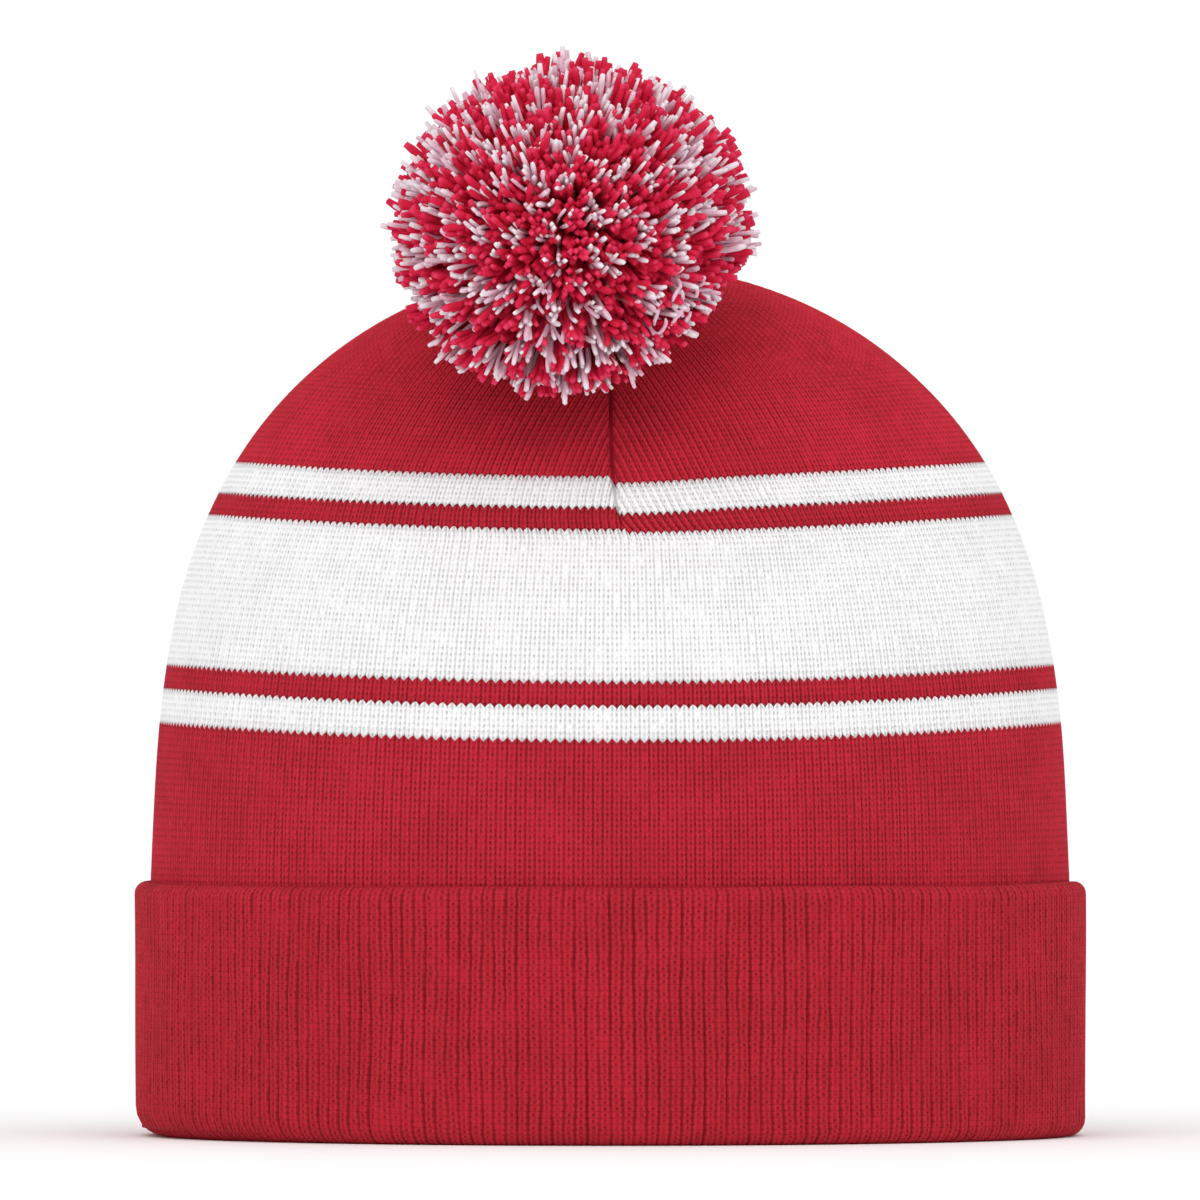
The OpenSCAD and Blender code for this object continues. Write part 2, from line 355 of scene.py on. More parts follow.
def belt(name, z_low, z_high, step, depth, wales, fine, groove, wobble=0.0):
    """One colour's belt of a layer: a closed shell with ribs outside and a plain back."""
    outer = meridian_levels(z_low, z_high, step)
    spots = np.linspace(0, len(outer) - 1, INNER_ROWS).round().astype(int)
    inner = [outer[k] for k in reversed(spots)]
    outside = knit_rows(outer, depth, wales, fine, groove, wobble)
    inside = knit_rows(inner, depth + PLY, wales, fine, 0)
    points, merge, knit = (a + b for a, b in zip(outside, inside))
    return grid_piece(name, np.array(points), np.array(merge), np.array(knit + [knit[0]]), True)


def pole_row(n, fine, depth, course):
    """A row of n points that all lie at the top of the dome."""
    points = np.tile([0, 0, HAT_H - depth], (n, 1))
    knit = np.stack([np.arange(n + 1) / fine, np.full(n + 1, course)], -1)
    return points, np.zeros(n, int), knit


def cap(name, z_low, step, plain_step, depth, wales, fine, groove, wobble=0.0, ribs_inside=False):
    """A layer that closes over the crown, ribbed on the side that shows."""
    outer_step, inner_step = (plain_step, step) if ribs_inside else (step, plain_step)
    outer_groove, inner_groove = (0, -groove) if ribs_inside else (groove, 0)
    outer = meridian_levels(z_low, DOME_TOP, outer_step)
    inner = meridian_levels(z_low, DOME_TOP, inner_step)[::-1]
    outside = knit_rows(outer, depth, wales, fine, outer_groove, wobble)
    inside = knit_rows(inner, depth + PLY, wales, fine, inner_groove)
    n = len(outside[1][0])
    first = pole_row(n, fine, depth + PLY, inner[0][1])
    last = pole_row(n, fine, depth, outer[-1][1])
    points, merge, knit = (np.array([first[k]] + inside[k] + outside[k] + [last[k]]) for k in range(3))
    return grid_piece(name, points, merge, knit, False)


# ---------------- cuff

CUFF_LOW_ROUND = 0.0042  # rounding of the turn at the bottom
CUFF_SIDE_ROUND = 0.0030  # the -X corner's rounding is larger by this much
CUFF_TOP_ROUND = 0.0030
CUFF_TOP_DROP = 0.0002  # the top edge lies this much lower than in the CAD model,
CUFF_TOP_WANDER = 0.0004  # and wanders up and down by this much
CUFF_TOP_OVER = 105  # degrees that the face rolls over at the top
CUFF_SWELL = 0.00035  # the face is uneven by this much
CUFF_SWAY = 0.0004  # stretches of ribs lean to the side by this much,
RIB_WAVER = 0.0002  # and each rib by this much on its own
CUFF_BUMP = 0.03  # height of one bump of the swell and the sway
RIB_BUMP = 0.035  # height of one change in how far a rib stands out
WAVER_BUMP = 0.012  # height of one waver of a rib
RIB_USUAL, RIB_VARY = 0.72, 0.5  # how far each rib stands out, and how much that varies,
RIB_LEAST, RIB_MOST = 0.35, 1.3  # within these limits
RIB_RATE, WAVER_RATE = 1.7, 0.8  # bumps from one rib to the next
SWELL_RATE, SWAY_RATE = 5, 7  # bumps in one radian
EDGE_RATE = 2.2
LOW_Z, LOW_LIFT = 0.002, 0.6  # below this height the grooves rise by this share of their depth
CORNER_FROM, CORNER_TO = 0.2, 0.95  # where the -X corner's rounding grows, as shares of the half width
RAISED_INSIDE = 0.3  # how far the ribs stand out inside the bottom turn
RAISED_BELOW = 0.35  # and where that turn's outer half starts
RAISED_OVER = 0.55  # and where the face ends, rolled over at the top
CUFF_MIDDLE = 0.22  # dip at the middle of a rib, as a share of the groove
TOP_LAP = 0.0002  # the slot's top outer corner lies this far inside the body's face
HIDDEN_COURSES = 2  # courses given to each row of the side that doesn't show


def oval_row(turn, depth, height):
    """Points of a ring round the cuff, at a depth from the body's outer face."""
    height = np.broadcast_to(height, turn.shape)
    return np.stack([(HALF_W - depth) * np.cos(turn), (HALF_D - depth) * np.sin(turn), height], -1)


def cuff_section(turn):
    """The ribbed side of the cuff, from inside the bottom turn, up the face and over the top.

    Each row is its depth, its height and how far the ribs stand out there.
    """
    low_round = CUFF_LOW_ROUND + CUFF_SIDE_ROUND * smooth(-np.cos(turn), CORNER_FROM, CORNER_TO)
    top = CUFF_H - CUFF_TOP_DROP + CUFF_TOP_WANDER * ripple(turn * EDGE_RATE, 0, waves=5, seed=9)
    rows = []
    for t in np.radians([180, 225, 270]):
        rows.append((INNER_FACE - PLY - PLY * np.cos(t), PLY + PLY * np.sin(t), RAISED_INSIDE))
    for t in np.radians(np.linspace(-90, 0, 6)):
        share = t / (math.pi / 2) + 1
        rows.append((CUFF_FACE + low_round - low_round * np.cos(t), low_round + low_round * np.sin(t),
                     RAISED_BELOW + (1 - RAISED_BELOW) * share))
    for share in np.linspace(0, 1, 20)[1:-1]:
        rows.append((CUFF_FACE, low_round + (top - CUFF_TOP_ROUND - low_round) * share, 1.0))
    for t in np.radians(np.linspace(0, CUFF_TOP_OVER, 8)):
        share = t / math.radians(CUFF_TOP_OVER)
        rows.append((CUFF_FACE + CUFF_TOP_ROUND - CUFF_TOP_ROUND * np.cos(t),
                     top - CUFF_TOP_ROUND + CUFF_TOP_ROUND * np.sin(t), 1.0 - (1 - RAISED_OVER) * share))
    return rows


def ribbed_row(turn, number, depth, height, raised):
    """One row of the cuff's ribbed side."""
    own = RIB_USUAL + RIB_VARY * ripple(np.floor(number + 0.5) * RIB_RATE, height / RIB_BUMP, waves=9, seed=3)
    own = np.clip(own, RIB_LEAST, RIB_MOST)
    relief = wale_relief(number, 1.0, CUFF_MIDDLE) * CUFF_GROOVE * raised * own
    swell = CUFF_SWELL * (1 + ripple(turn * SWELL_RATE, height / CUFF_BUMP, waves=6, seed=4))
    sway = CUFF_SWAY * ripple(turn * SWAY_RATE, height / CUFF_BUMP, waves=6, seed=8)
    waver = RIB_WAVER * ripple(number * WAVER_RATE, height / WAVER_BUMP, waves=6, seed=2)
    spin = turn + (sway + waver) * raised / (HALF_W - CUFF_FACE)
    lift = relief * (height < LOW_Z) * LOW_LIFT
    return oval_row(spin, depth + relief + swell * raised, np.maximum(height + lift, 0))


def cuff_piece():
    """The turned-up cuff, with its ribs outside and a slot for the backing inside."""
    number = np.arange(CUFF_WALES * FINE) / FINE
    angles = np.linspace(0, 2 * math.pi, LINE_POINTS)
    arc = lengths_along(oval_row(angles, CUFF_FACE, 0))
    turn = np.interp(number / CUFF_WALES * arc[-1], arc, angles)
    points = [ribbed_row(turn, number, *row) for row in cuff_section(turn)]
    gaps = [np.linalg.norm(b - a, axis=1).mean() / COURSE for a, b in zip(points, points[1:])]
    near, far = PLY * 0.98, PLY * 1.02  # the slot's faces, a little clear of the backing
    slot = [(TOP_LAP, CUFF_H - PLY), (-near, CUFF_H - far), (-near, far), (INNER_FACE, far)]
    points += [oval_row(turn, depth, height) for depth, height in slot]
    courses = np.cumsum([0] + gaps + [HIDDEN_COURSES] * len(slot))
    ends = np.append(number, CUFF_WALES)
    knits = [np.stack([ends, np.full(len(ends), course)], -1) for course in courses]
    merge = np.tile(np.arange(len(number)), (len(points), 1))
    return grid_piece("cuff_knit", np.array(points), merge, np.array(knits + [knits[0]]), True)


# ---------------- yarn and thread

STEEP = 0.9  # a tube that rises more than this is framed from X instead of Z
STRAND_TONES = 97  # strands are coloured in this many tones
FIRST_TONE = 0.003
OFF_AXIS = np.array([0.31, 0.2, 0.93])  # a direction that no twisted line runs along


def tubes(name, paths, radii, sides):
    """Closed tubes in one mesh. paths is (tubes, points, 3) and radii is (tubes, points)."""
    count, length, _ = paths.shape
    step = unit(np.gradient(paths, axis=1))
    helper = np.where(np.abs(step[:, :1, 2:3]) < STEEP, [[[0, 0, 1.0]]], [[[1.0, 0, 0]]])
    side = unit(np.cross(step, helper))
    up = np.cross(side, step)
    angle = np.arange(sides) / sides * 2 * math.pi
    ring = side[:, :, None] * np.cos(angle)[:, None] + up[:, :, None] * np.sin(angle)[:, None]
    points = paths[:, :, None] + ring * radii[:, :, None, None]
    base = np.arange(count)[:, None, None] * length * sides
    k = np.arange(length - 1)[None, :, None] * sides
    i = np.arange(sides)[None, None, :]
    j = (i + 1) % sides
    quads = np.stack([base + k + i, base + k + j, base + k + sides + j, base + k + sides + i], -1)
    quads = quads.reshape(-1, 4)[:, ::-1]
    first = base[:, 0] + np.arange(sides)[None]
    last = base[:, 0] + (length - 1) * sides + np.arange(sides)[::-1][None]
    loops = np.concatenate([quads.ravel(), first.ravel(), last.ravel()])
    totals = np.concatenate([np.full(len(quads), 4), np.full(2 * count, sides)])
    place = np.tile(np.repeat(np.arange(length) / (length - 1), sides), count)
    strand = np.repeat(np.arange(count), length * sides)
    tone = (strand % STRAND_TONES) / STRAND_TONES + FIRST_TONE
    uv = np.stack([tone, place], -1)[loops]
    return add_mesh(name, points.reshape(-1, 3), loops, totals, [("yarn", uv)])


def plied(centre, radius, plies, pitch, thick):
    """Paths of the plies of a twisted yarn that follows a centre line of points."""
    step = unit(np.gradient(centre, axis=0))
    side = unit(np.cross(step, OFF_AXIS))
    up = np.cross(side, step)
    twist = lengths_along(centre) / pitch * 2 * math.pi
    paths = []
    for k in range(plies):
        turn = twist + 2 * math.pi * k / plies
        paths.append(centre + radius * (side * np.cos(turn)[:, None] + up * np.sin(turn)[:, None]))
    paths = np.array(paths)
    return paths, np.full(paths.shape[:2], thick)


def tie_frame():
    """Axes of the tie: local Z along it from the bend to the ball, local Y on its upper side."""
    z = unit(TIE_AXIS)
    x = unit(np.cross(UP, z))
    return x, np.cross(z, x), z


# ---------------- pom pom

POM_R = corner("pom_red_yarn", 1, "z") - POM_CENTRE[2]
PRESS_LEAN = math.radians(60.5)  # of the normals of the planes that press the ball
PRESS_TURNS = np.radians([-25.0, 0.0, 25.0])
PRESS_ROUNDS = 3
DROOP = 0.0085  # most that the yarn hangs down at the lower front
DROOP_ALONG = (-0.002, 0.022)  # it grows over this distance past the ball's centre
DROOP_BELOW = (-0.004, 0.026)  # and over this distance below it
YARN_CENTRE = POM_CENTRE + np.array([-0.0005, 0.0, -0.0035])  # the loose yarn sags a little
POM_HUB = POM_CENTRE + np.array([-0.0035, 0.0, -0.0115])  # the strands fan out from here
POM_WIDEN = 0.05  # the ball is wider than round by this share
OUT_OF_PLACE = 0.035  # how far directions stray from their spiral
TUFT_PULL = (0.5, 2.6)  # how strongly a strand's tip is drawn to its tuft
REACH = 0.935  # where strands end, in the ball's radius,
REACH_LIMIT = 1.015  # and where the longest do
CROWN_CUT = 0.02  # strands are cut shorter on the crown's side
STRAND_START = 0.005  # strands start this far from the ball's centre
STRAND_BEND = 0.0018  # strands bend at their middles by this much
CUT_NOISE = 0.016  # their cut ends stray by about a tenth of this
CUT_FROM = 0.7  # from this share of their length on
STRAND_STEPS = np.array([0, 0.25, 0.5, 0.72, 0.90, 0.965, 1.0])
STRAND_TAPER = np.array([0.6, 0.75, 0.85, 0.92, 0.98, 1.18, 0.90])
STRAND_SIDES = 4
RED_STRANDS, RED_THICK = 3800, 0.00074
WHITE_STRANDS, WHITE_THICK = 3700, 0.00055
CORE_STRANDS, CORE_THICK = 3400, 0.0010
CORE_REACH = 0.885
CORE_START = 0.0045
CORE_ROOM = 0.0016  # the core keeps this clear of the pressed side
CORE_TAPER = np.array([0.5, 1.0, 1.25, 0.85])


def press_normals():
    """Unit normals of the planes through the bend that bound the yarn on the crown's side."""
    x, y, z = tie_frame()
    normals = []
    for turn in PRESS_TURNS:
        across = y * math.cos(turn) - x * math.sin(turn)
        n = across * math.sin(PRESS_LEAN) + z * math.cos(PRESS_LEAN)
        normals.append(n if n[2] > 0 else -n)
    return normals


def droop(points):
    """How far the yarn at the ball's lower front hangs down, past the crown's front."""
    along = (points - POM_CENTRE) @ TIE_AXIS
    below = POM_CENTRE[2] - points[..., 2]
    return DROOP * smooth(along, *DROOP_ALONG) * smooth(below, *DROOP_BELOW)


def drooped(points):
    return points - droop(points)[..., None] * UP


def pressed(points, room):
    """Points pushed clear of the crown's side by room."""
    for _ in range(PRESS_ROUNDS):
        for n in press_normals():
            behind = np.minimum((points - PIVOT) @ n - room, 0)
            points = points - behind[..., None] * n
    return points


def ball_directions(count, seed):
    """Directions spread evenly over a ball along a spiral, each a little out of place."""
    local = np.random.default_rng(seed)
    k = np.arange(count) + 0.5
    z = 1 - 2 * k / count
    turn = k * math.pi * (3 - math.sqrt(5))
    d = np.stack([np.sqrt(1 - z * z) * np.cos(turn), np.sqrt(1 - z * z) * np.sin(turn), z], -1)
    return unit(d + local.normal(0, OUT_OF_PLACE, d.shape))


# Neighbouring strands of one yarn lean together in tufts.
TUFTS = ball_directions(1050, 45)
WHITE_SHARE = 0.47
WHITE_TUFTS = np.random.default_rng(46).random(len(TUFTS)) < WHITE_SHARE


def pom_strands(name, count, thick, seed, spread, tufts):
    """Cut strands that start at the binding and fan out to the ball's face in small tufts."""
    local = np.random.default_rng(seed)
    d = ball_directions(count, seed)
    d = d[local.permutation(count)]
    tuft = tufts[np.argmax(d @ tufts.T, axis=1)]
    tip_dir = unit(d + tuft * local.uniform(*TUFT_PULL, (count, 1)))
    to_crown = np.clip(-(tip_dir @ TIE_AXIS) * 1.2, 0, 1)
    reach = POM_R * (REACH + local.normal(0.0, spread, count))
    reach = np.minimum(reach, POM_R * (REACH_LIMIT - CROWN_CUT * to_crown))
    tip = tip_dir * reach[:, None]
    tip[:, 0] *= 1 + POM_WIDEN * (1 - to_crown)
    tip = pressed(YARN_CENTRE + tip, thick)
    drop = droop(tip)
    tip = drooped(tip)
    start = POM_CENTRE + d * STRAND_START
    middle = POM_HUB + (tip - POM_HUB) * 0.5 + local.normal(0, STRAND_BEND, (count, 3))
    t = STRAND_STEPS[None, :, None]
    path = (1 - t) ** 2 * start[:, None] + 2 * t * (1 - t) * middle[:, None] + t ** 2 * tip[:, None]
    stray = local.normal(0, 1, (count, 1, 3)) * np.clip(t - CUT_FROM, 0, 1) ** 2
    path = pressed(path + stray * CUT_NOISE, (thick - drop)[:, None])
    radii = thick * STRAND_TAPER * local.uniform(0.8, 1.2, (count, 1))
    return tubes(name, path, radii, STRAND_SIDES)


def pom_core():
    """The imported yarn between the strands, seen only in the gaps."""
    d = ball_directions(CORE_STRANDS, 40)
    tip = YARN_CENTRE + d * (POM_R * CORE_REACH)
    start = POM_CENTRE + d * CORE_START
    t = np.linspace(0, 1, len(CORE_TAPER))[None, :, None]
    path = pressed(start[:, None] * (1 - t) + tip[:, None] * t, CORE_ROOM)
    radii = CORE_THICK * CORE_TAPER[None] * np.ones((len(d), 1))
    return tubes("pom_core_yarn", path, radii, STRAND_SIDES)


# The loose strands: curls at the ball's lower +X side, and one end that hangs in front
STRAY_THICK = 0.00045
STRAY_POINTS = 14
STRAY_LIMIT = 1.06  # how far they may reach, in the ball's radius
CURLS = 16
CURL_END_LOW = np.array([0.020, -0.033, -0.027])
CURL_END_HIGH = np.array([0.030, -0.028, -0.014])
CURL_SIZE = (0.002, 0.0045)
CURL_TURN = (2.5, 5.5)  # how far a curl winds, in radians
CURL_ACROSS = np.array([0.5, 0.1, -0.85])
CURL_OUT = np.array([0.8, -0.1, 0.5])
HANGING_END = np.array([-0.0085, -0.030, -0.0405])
HANGING_BEND = np.array([0.002, 0, 0])


def stray_strands():
    """A few long loose strands."""
    local = np.random.default_rng(12)
    t = np.linspace(0, 1, STRAY_POINTS)[:, None]
    outward = 0.55 + 0.55 * t  # shares of the way to an end, and a little past it
    hanging = 0.6 + 0.42 * t
    paths = []
    for _ in range(CURLS):
        end = local.uniform(CURL_END_LOW, CURL_END_HIGH)
        curl = local.uniform(*CURL_SIZE)
        turn = local.uniform(0, PHASES) + t * local.uniform(*CURL_TURN)
        winding = np.cos(turn) * CURL_ACROSS + np.sin(turn) * CURL_OUT
        paths.append(POM_CENTRE + end * outward + curl * t * winding)
    paths.append(POM_CENTRE + HANGING_END * hanging + HANGING_BEND * np.sin(t * 5))
    paths = drooped(pressed(np.array(paths), STRAY_THICK))
    length = np.linalg.norm(paths - POM_CENTRE, axis=2, keepdims=True)
    paths = POM_CENTRE + (paths - POM_CENTRE) * np.minimum(1, STRAY_LIMIT * POM_R / length)
    radii = np.full(paths.shape[:2], STRAY_THICK)
    radii[:, -1] *= 0.6
    return tubes("pom_stray_strands", paths, radii, 6)


# ---------------- tie

BINDING_TURNS = 5
BINDING_R = 0.0046
BINDING_H = 0.0034
TIE_START = 0.0018  # the thread starts this far along the tie, past its bend
LOOP_LEAN = 0.5  # the bend's two loops lean apart by this angle to each side
LOOP_SHARE = 0.985  # share of a full turn in each
LOOP_THICK = 0.0005
KNOT_POINTS = 90
KNOT_WIDE = 0.52  # sizes of the knot, in its outer radius
KNOT_THICK = 0.4
KNOT_YARN = 0.75  # radius of its yarn, in that thickness
ANCHOR_TWIST = 1800  # radians in a metre of its thread
ANCHOR_THICK = 0.0004


def binding_coil():
    """The yarn wound round the pom pom's waist."""
    x, y, z = tie_frame()
    t = np.linspace(0, 1, 160)
    turn = t * BINDING_TURNS * 2 * math.pi
    line = (POM_CENTRE + np.outer(np.cos(turn) * BINDING_R, x) + np.outer(np.sin(turn) * BINDING_R, y)
            + np.outer((t - 0.5) * BINDING_H, z))
    paths, radii = plied(line, radius=0.0003, plies=2, pitch=0.0022, thick=0.00036)
    return tubes("pom_binding_yarn", paths, radii, 6)


def tie_thread():
    """The two-ply thread from the bend to the binding."""
    reach = np.linalg.norm(POM_CENTRE - PIVOT)
    line = PIVOT + np.outer(np.linspace(TIE_START, reach, 70), TIE_AXIS)
    paths, radii = plied(line, radius=0.00042, plies=2, pitch=0.0034, thick=0.00046)
    return tubes("tie_thread", paths, radii, 8)


def tie_bend():
    """The turn of the tie above the crown: two small loops of thread pulled tight."""
    radius = 0.5 * (corner("tie_loop", 1, "z") - corner("tie_loop", 0, "z")) - LOOP_THICK
    t = np.linspace(0, 2 * math.pi * LOOP_SHARE, 60)
    x, y, z = tie_frame()
    lines = []
    for lean in (LOOP_LEAN, -LOOP_LEAN):
        across = x * math.cos(lean) + y * math.sin(lean)
        lines.append(PIVOT + np.outer(np.cos(t) * radius, z) + np.outer(np.sin(t) * radius, across))
    return tubes("tie_bend", np.array(lines), np.full((2, len(t)), LOOP_THICK), 8)


def anchor_knot():
    """The knot under the lining, a trefoil, and its thread up through the crown."""
    low, high = (np.array(c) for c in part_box("tie_anchor_knot"))
    radius = 0.5 * (high[0] - low[0])
    centre = np.array([0, 0, low[2] + radius])
    t = np.linspace(0, 2 * math.pi, KNOT_POINTS)
    wide, thick = radius * KNOT_WIDE, radius * KNOT_THICK
    ring = wide + thick * 0.62 * np.cos(3 * t)
    knot = centre + np.stack([ring * np.cos(2 * t), ring * np.sin(2 * t), thick * 1.3 * np.sin(3 * t)], -1)
    rise = np.linspace(centre[2], high[2], KNOT_POINTS)
    twist = rise * ANCHOR_TWIST
    thread = np.stack([ANCHOR_THICK * np.cos(twist), ANCHOR_THICK * np.sin(twist), rise], -1)
    other = thread * [-1, -1, 1]
    radii = np.outer([thick * KNOT_YARN, ANCHOR_THICK, ANCHOR_THICK], np.ones(KNOT_POINTS))
    return tubes("tie_anchor", np.array([knot, thread, other]), radii, 8)


# ---------------- crown seams

# Turn of each dart round the hat
DARTS = {"front": 1.5 * math.pi, "back": 0.5 * math.pi, "left": 0.0, "right": math.pi}
RIDGE_THICK = 0.00068
RIDGE_DEPTH = INNER_FACE + 0.0010
RIDGE_FROM = 0.001  # the ridge starts this far above the seam's lower end
RIDGE_TO = 0.0004  # and ends this far below its upper end


def seam_pieces(side):
    """One dart's seam inside the hat: a raised ridge of knit and the overlocked thread round it."""
    low, high = (corner("crown_seam_" + side, k, "z") for k in (0, 1))
    # Heights are counted on the outer face, so the line runs on before it is cut off at the top.
    past = HAT_H - (HAT_H - high) * 0.5 - 0.003
    z = np.linspace(low + RIDGE_FROM, past, 60)
    line = surface(leaned(np.full(len(z), DARTS[side]), z), z, RIDGE_DEPTH)
    line = line[line[:, 2] < high - RIDGE_TO]
    ridge = tubes("seam_ridge_" + side, line[None], np.full((1, len(line)), RIDGE_THICK), 10)
    length = lengths_along(line)
    fine = np.linspace(0, length[-1], 420)
    centre = np.stack([np.interp(fine, length, line[:, k]) for k in range(3)], -1)
    coil, thick = plied(centre, radius=0.00078, plies=2, pitch=0.0021, thick=0.00013)
    return ridge, tubes("seam_thread_" + side, coil, thick, 5)


# ---------------- label

LABEL_ROWS, LABEL_COLS = 46, 24
LABEL_TRIM = 0.0002  # the tape's sides lie this far inside the CAD model's
LABEL_END = 0.0003  # and its end this far
LABEL_EDGE = 0.03  # share of its half width that thins to the edge
LABEL_THIN = 0.35  # thickness at that edge, as a share
LABEL_WAVE = 0.00012  # the flap bows by this much
STITCHES = 9
STITCH_HALF = 0.0009
STITCH_THICK = 0.00022
STITCH_IN = 0.0004  # the outer stitches lie this far inside the row's ends


def label_piece():
    """The blank folded tape: its sewn strip and its free flap in one piece."""
    low, high = (np.array(c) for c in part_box("label_flap"))
    thick = high[1] - low[1]
    middle = 0.5 * (low[1] + high[1])
    s = np.linspace(-1, 1, LABEL_COLS)
    edge = np.clip((1 - np.abs(s)) / LABEL_EDGE, 0, 1) ** 0.5
    half = thick / 2 * (LABEL_THIN + (1 - LABEL_THIN) * edge)
    z = np.linspace(low[2] + LABEL_END, corner("label_hem", 1, "z"), LABEL_ROWS)
    points = []
    for face, heights in ((-1, z), (1, z[::-1])):
        for height in heights:
            fold = smooth(height, low[2], low[2] + 0.002) * 0.5 + 0.5
            wave = LABEL_WAVE * np.sin(s * 2.2 + 0.4) * smooth(-height, -high[2], -low[2])
            points.append(np.stack([s * (high[0] - LABEL_TRIM), middle + wave + face * half * fold,
                                    np.full(LABEL_COLS, height)], -1))
    count = len(points)
    corners, uv = [], []
    for r in range(count):
        q = (r + 1) % count
        for i in range(LABEL_COLS - 1):
            left, right = i / (LABEL_COLS - 1), (i + 1) / (LABEL_COLS - 1)
            below, above = r / count, (r + 1) / count
            corners.append([r * LABEL_COLS + i, r * LABEL_COLS + i + 1,
                            q * LABEL_COLS + i + 1, q * LABEL_COLS + i])
            uv.append([(left, below), (right, below), (right, above), (left, above)])
    for i in (0, LABEL_COLS - 1):
        for r in range(LABEL_ROWS - 1):
            rows = (r, r + 1, count - 2 - r, count - 1 - r)
            side = [row * LABEL_COLS + i for row in rows]
            corners.append(side if i == 0 else side[::-1])
            uv.append([(0.5, 0.5)] * 4)
    return add_mesh("blank_label", np.concatenate(points), np.ravel(corners), np.full(len(corners), 4),
                    [("tape", np.reshape(uv, (-1, 2)))])


def label_stitching():
    """The row of stitches through the label's strip, each a short arc of thread."""
    low, high = (np.array(c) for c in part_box("label_stitches"))
    front = corner("label_hem", 0, "y")
    z = 0.5 * (low[2] + high[2])
    t = np.linspace(0, math.pi, 9)
    back = np.linspace(front + 0.0004, high[1] - 0.0003, 4)
    paths = []
    for x in np.linspace(low[0] + STITCH_IN, high[0] - STITCH_IN, STITCHES):
        across = np.append(x - STITCH_HALF * np.cos(t), np.full(len(back), x + STITCH_HALF))
        inward = np.append(front - 0.00035 * np.sin(t) + 0.0001, back)
        paths.append(np.stack([across, inward, np.full(len(across), z)], -1))
    paths = np.array(paths)
    return tubes("label_thread", paths, np.full(paths.shape[:2], STITCH_THICK), 6)


# ---------------- materials

class Nodes:
    """Builds a node tree with short calls."""

    def __init__(self, name):
        self.material = bpy.data.materials.new(name)
        self.material.use_nodes = True
        self.tree = self.material.node_tree
        self.shader = next(n for n in self.tree.nodes if n.type == "BSDF_PRINCIPLED")

    def add(self, kind, **settings):
        node = self.tree.nodes.new(kind)
        for key, value in settings.items():
            setattr(node, key, value)
        return node

    def put(self, socket, value):
        if isinstance(value, bpy.types.NodeSocket):
            self.tree.links.new(value, socket)
        else:
            socket.default_value = value

    def math(self, operation, *values):
        node = self.add("ShaderNodeMath", operation=operation)
        for socket, value in zip(node.inputs, values):
            self.put(socket, value)
        return node.outputs[0]

    def plus(self, a, b):
        return self.math("ADD", a, b)

    def minus(self, a, b):
        return self.math("SUBTRACT", a, b)

    def times(self, a, b):
        return self.math("MULTIPLY", a, b)

    def away(self, value, middle):
        """Distance of value from middle."""
        return self.math("ABSOLUTE", self.minus(value, middle))

    def ramp(self, value, low, high):
        """0 below low and 1 above high, with a smooth rise."""
        node = self.add("ShaderNodeMapRange", interpolation_type="SMOOTHSTEP")
        self.put(node.inputs["Value"], value)
        self.put(node.inputs["From Min"], low)
        self.put(node.inputs["From Max"], high)
        return node.outputs[0]

    def uv(self, name):
        node = self.add("ShaderNodeUVMap", uv_map=name)
        split = self.add("ShaderNodeSeparateXYZ")
        self.tree.links.new(node.outputs[0], split.inputs[0])
        return split.outputs[0], split.outputs[1]

    def noise(self, scale, detail=3.0, rough=0.6):
        node = self.add("ShaderNodeTexNoise")
        node.inputs["Scale"].default_value = scale
        node.inputs["Detail"].default_value = detail
        node.inputs["Roughness"].default_value = rough
        self.tree.links.new(self.add("ShaderNodeTexCoord").outputs["Object"], node.inputs["Vector"])
        return node.outputs[0]

    def mix(self, factor, a, b):
        node = self.add("ShaderNodeMix", data_type="RGBA")
        self.put(node.inputs[0], factor)
        self.put(node.inputs[6], a)
        self.put(node.inputs[7], b)
        return node.outputs[2]

    def base(self, value):
        self.put(self.shader.inputs["Base Color"], value)

    def bump(self, height, strength, distance):
        node = self.add("ShaderNodeBump")
        node.inputs["Strength"].default_value = strength
        node.inputs["Distance"].default_value = distance
        self.put(node.inputs["Height"], height)
        self.tree.links.new(node.outputs[0], self.shader.inputs["Normal"])

    def finish(self, roughness, sheen, sheen_tint):
        self.shader.inputs["Roughness"].default_value = roughness
        self.shader.inputs["Specular IOR Level"].default_value = 0.25
        self.shader.inputs["Sheen Weight"].default_value = sheen
        self.shader.inputs["Sheen Roughness"].default_value = 0.5
        self.shader.inputs["Sheen Tint"].default_value = sheen_tint
        return self.material


def colour(r, g, b):
    return (r, g, b, 1.0)


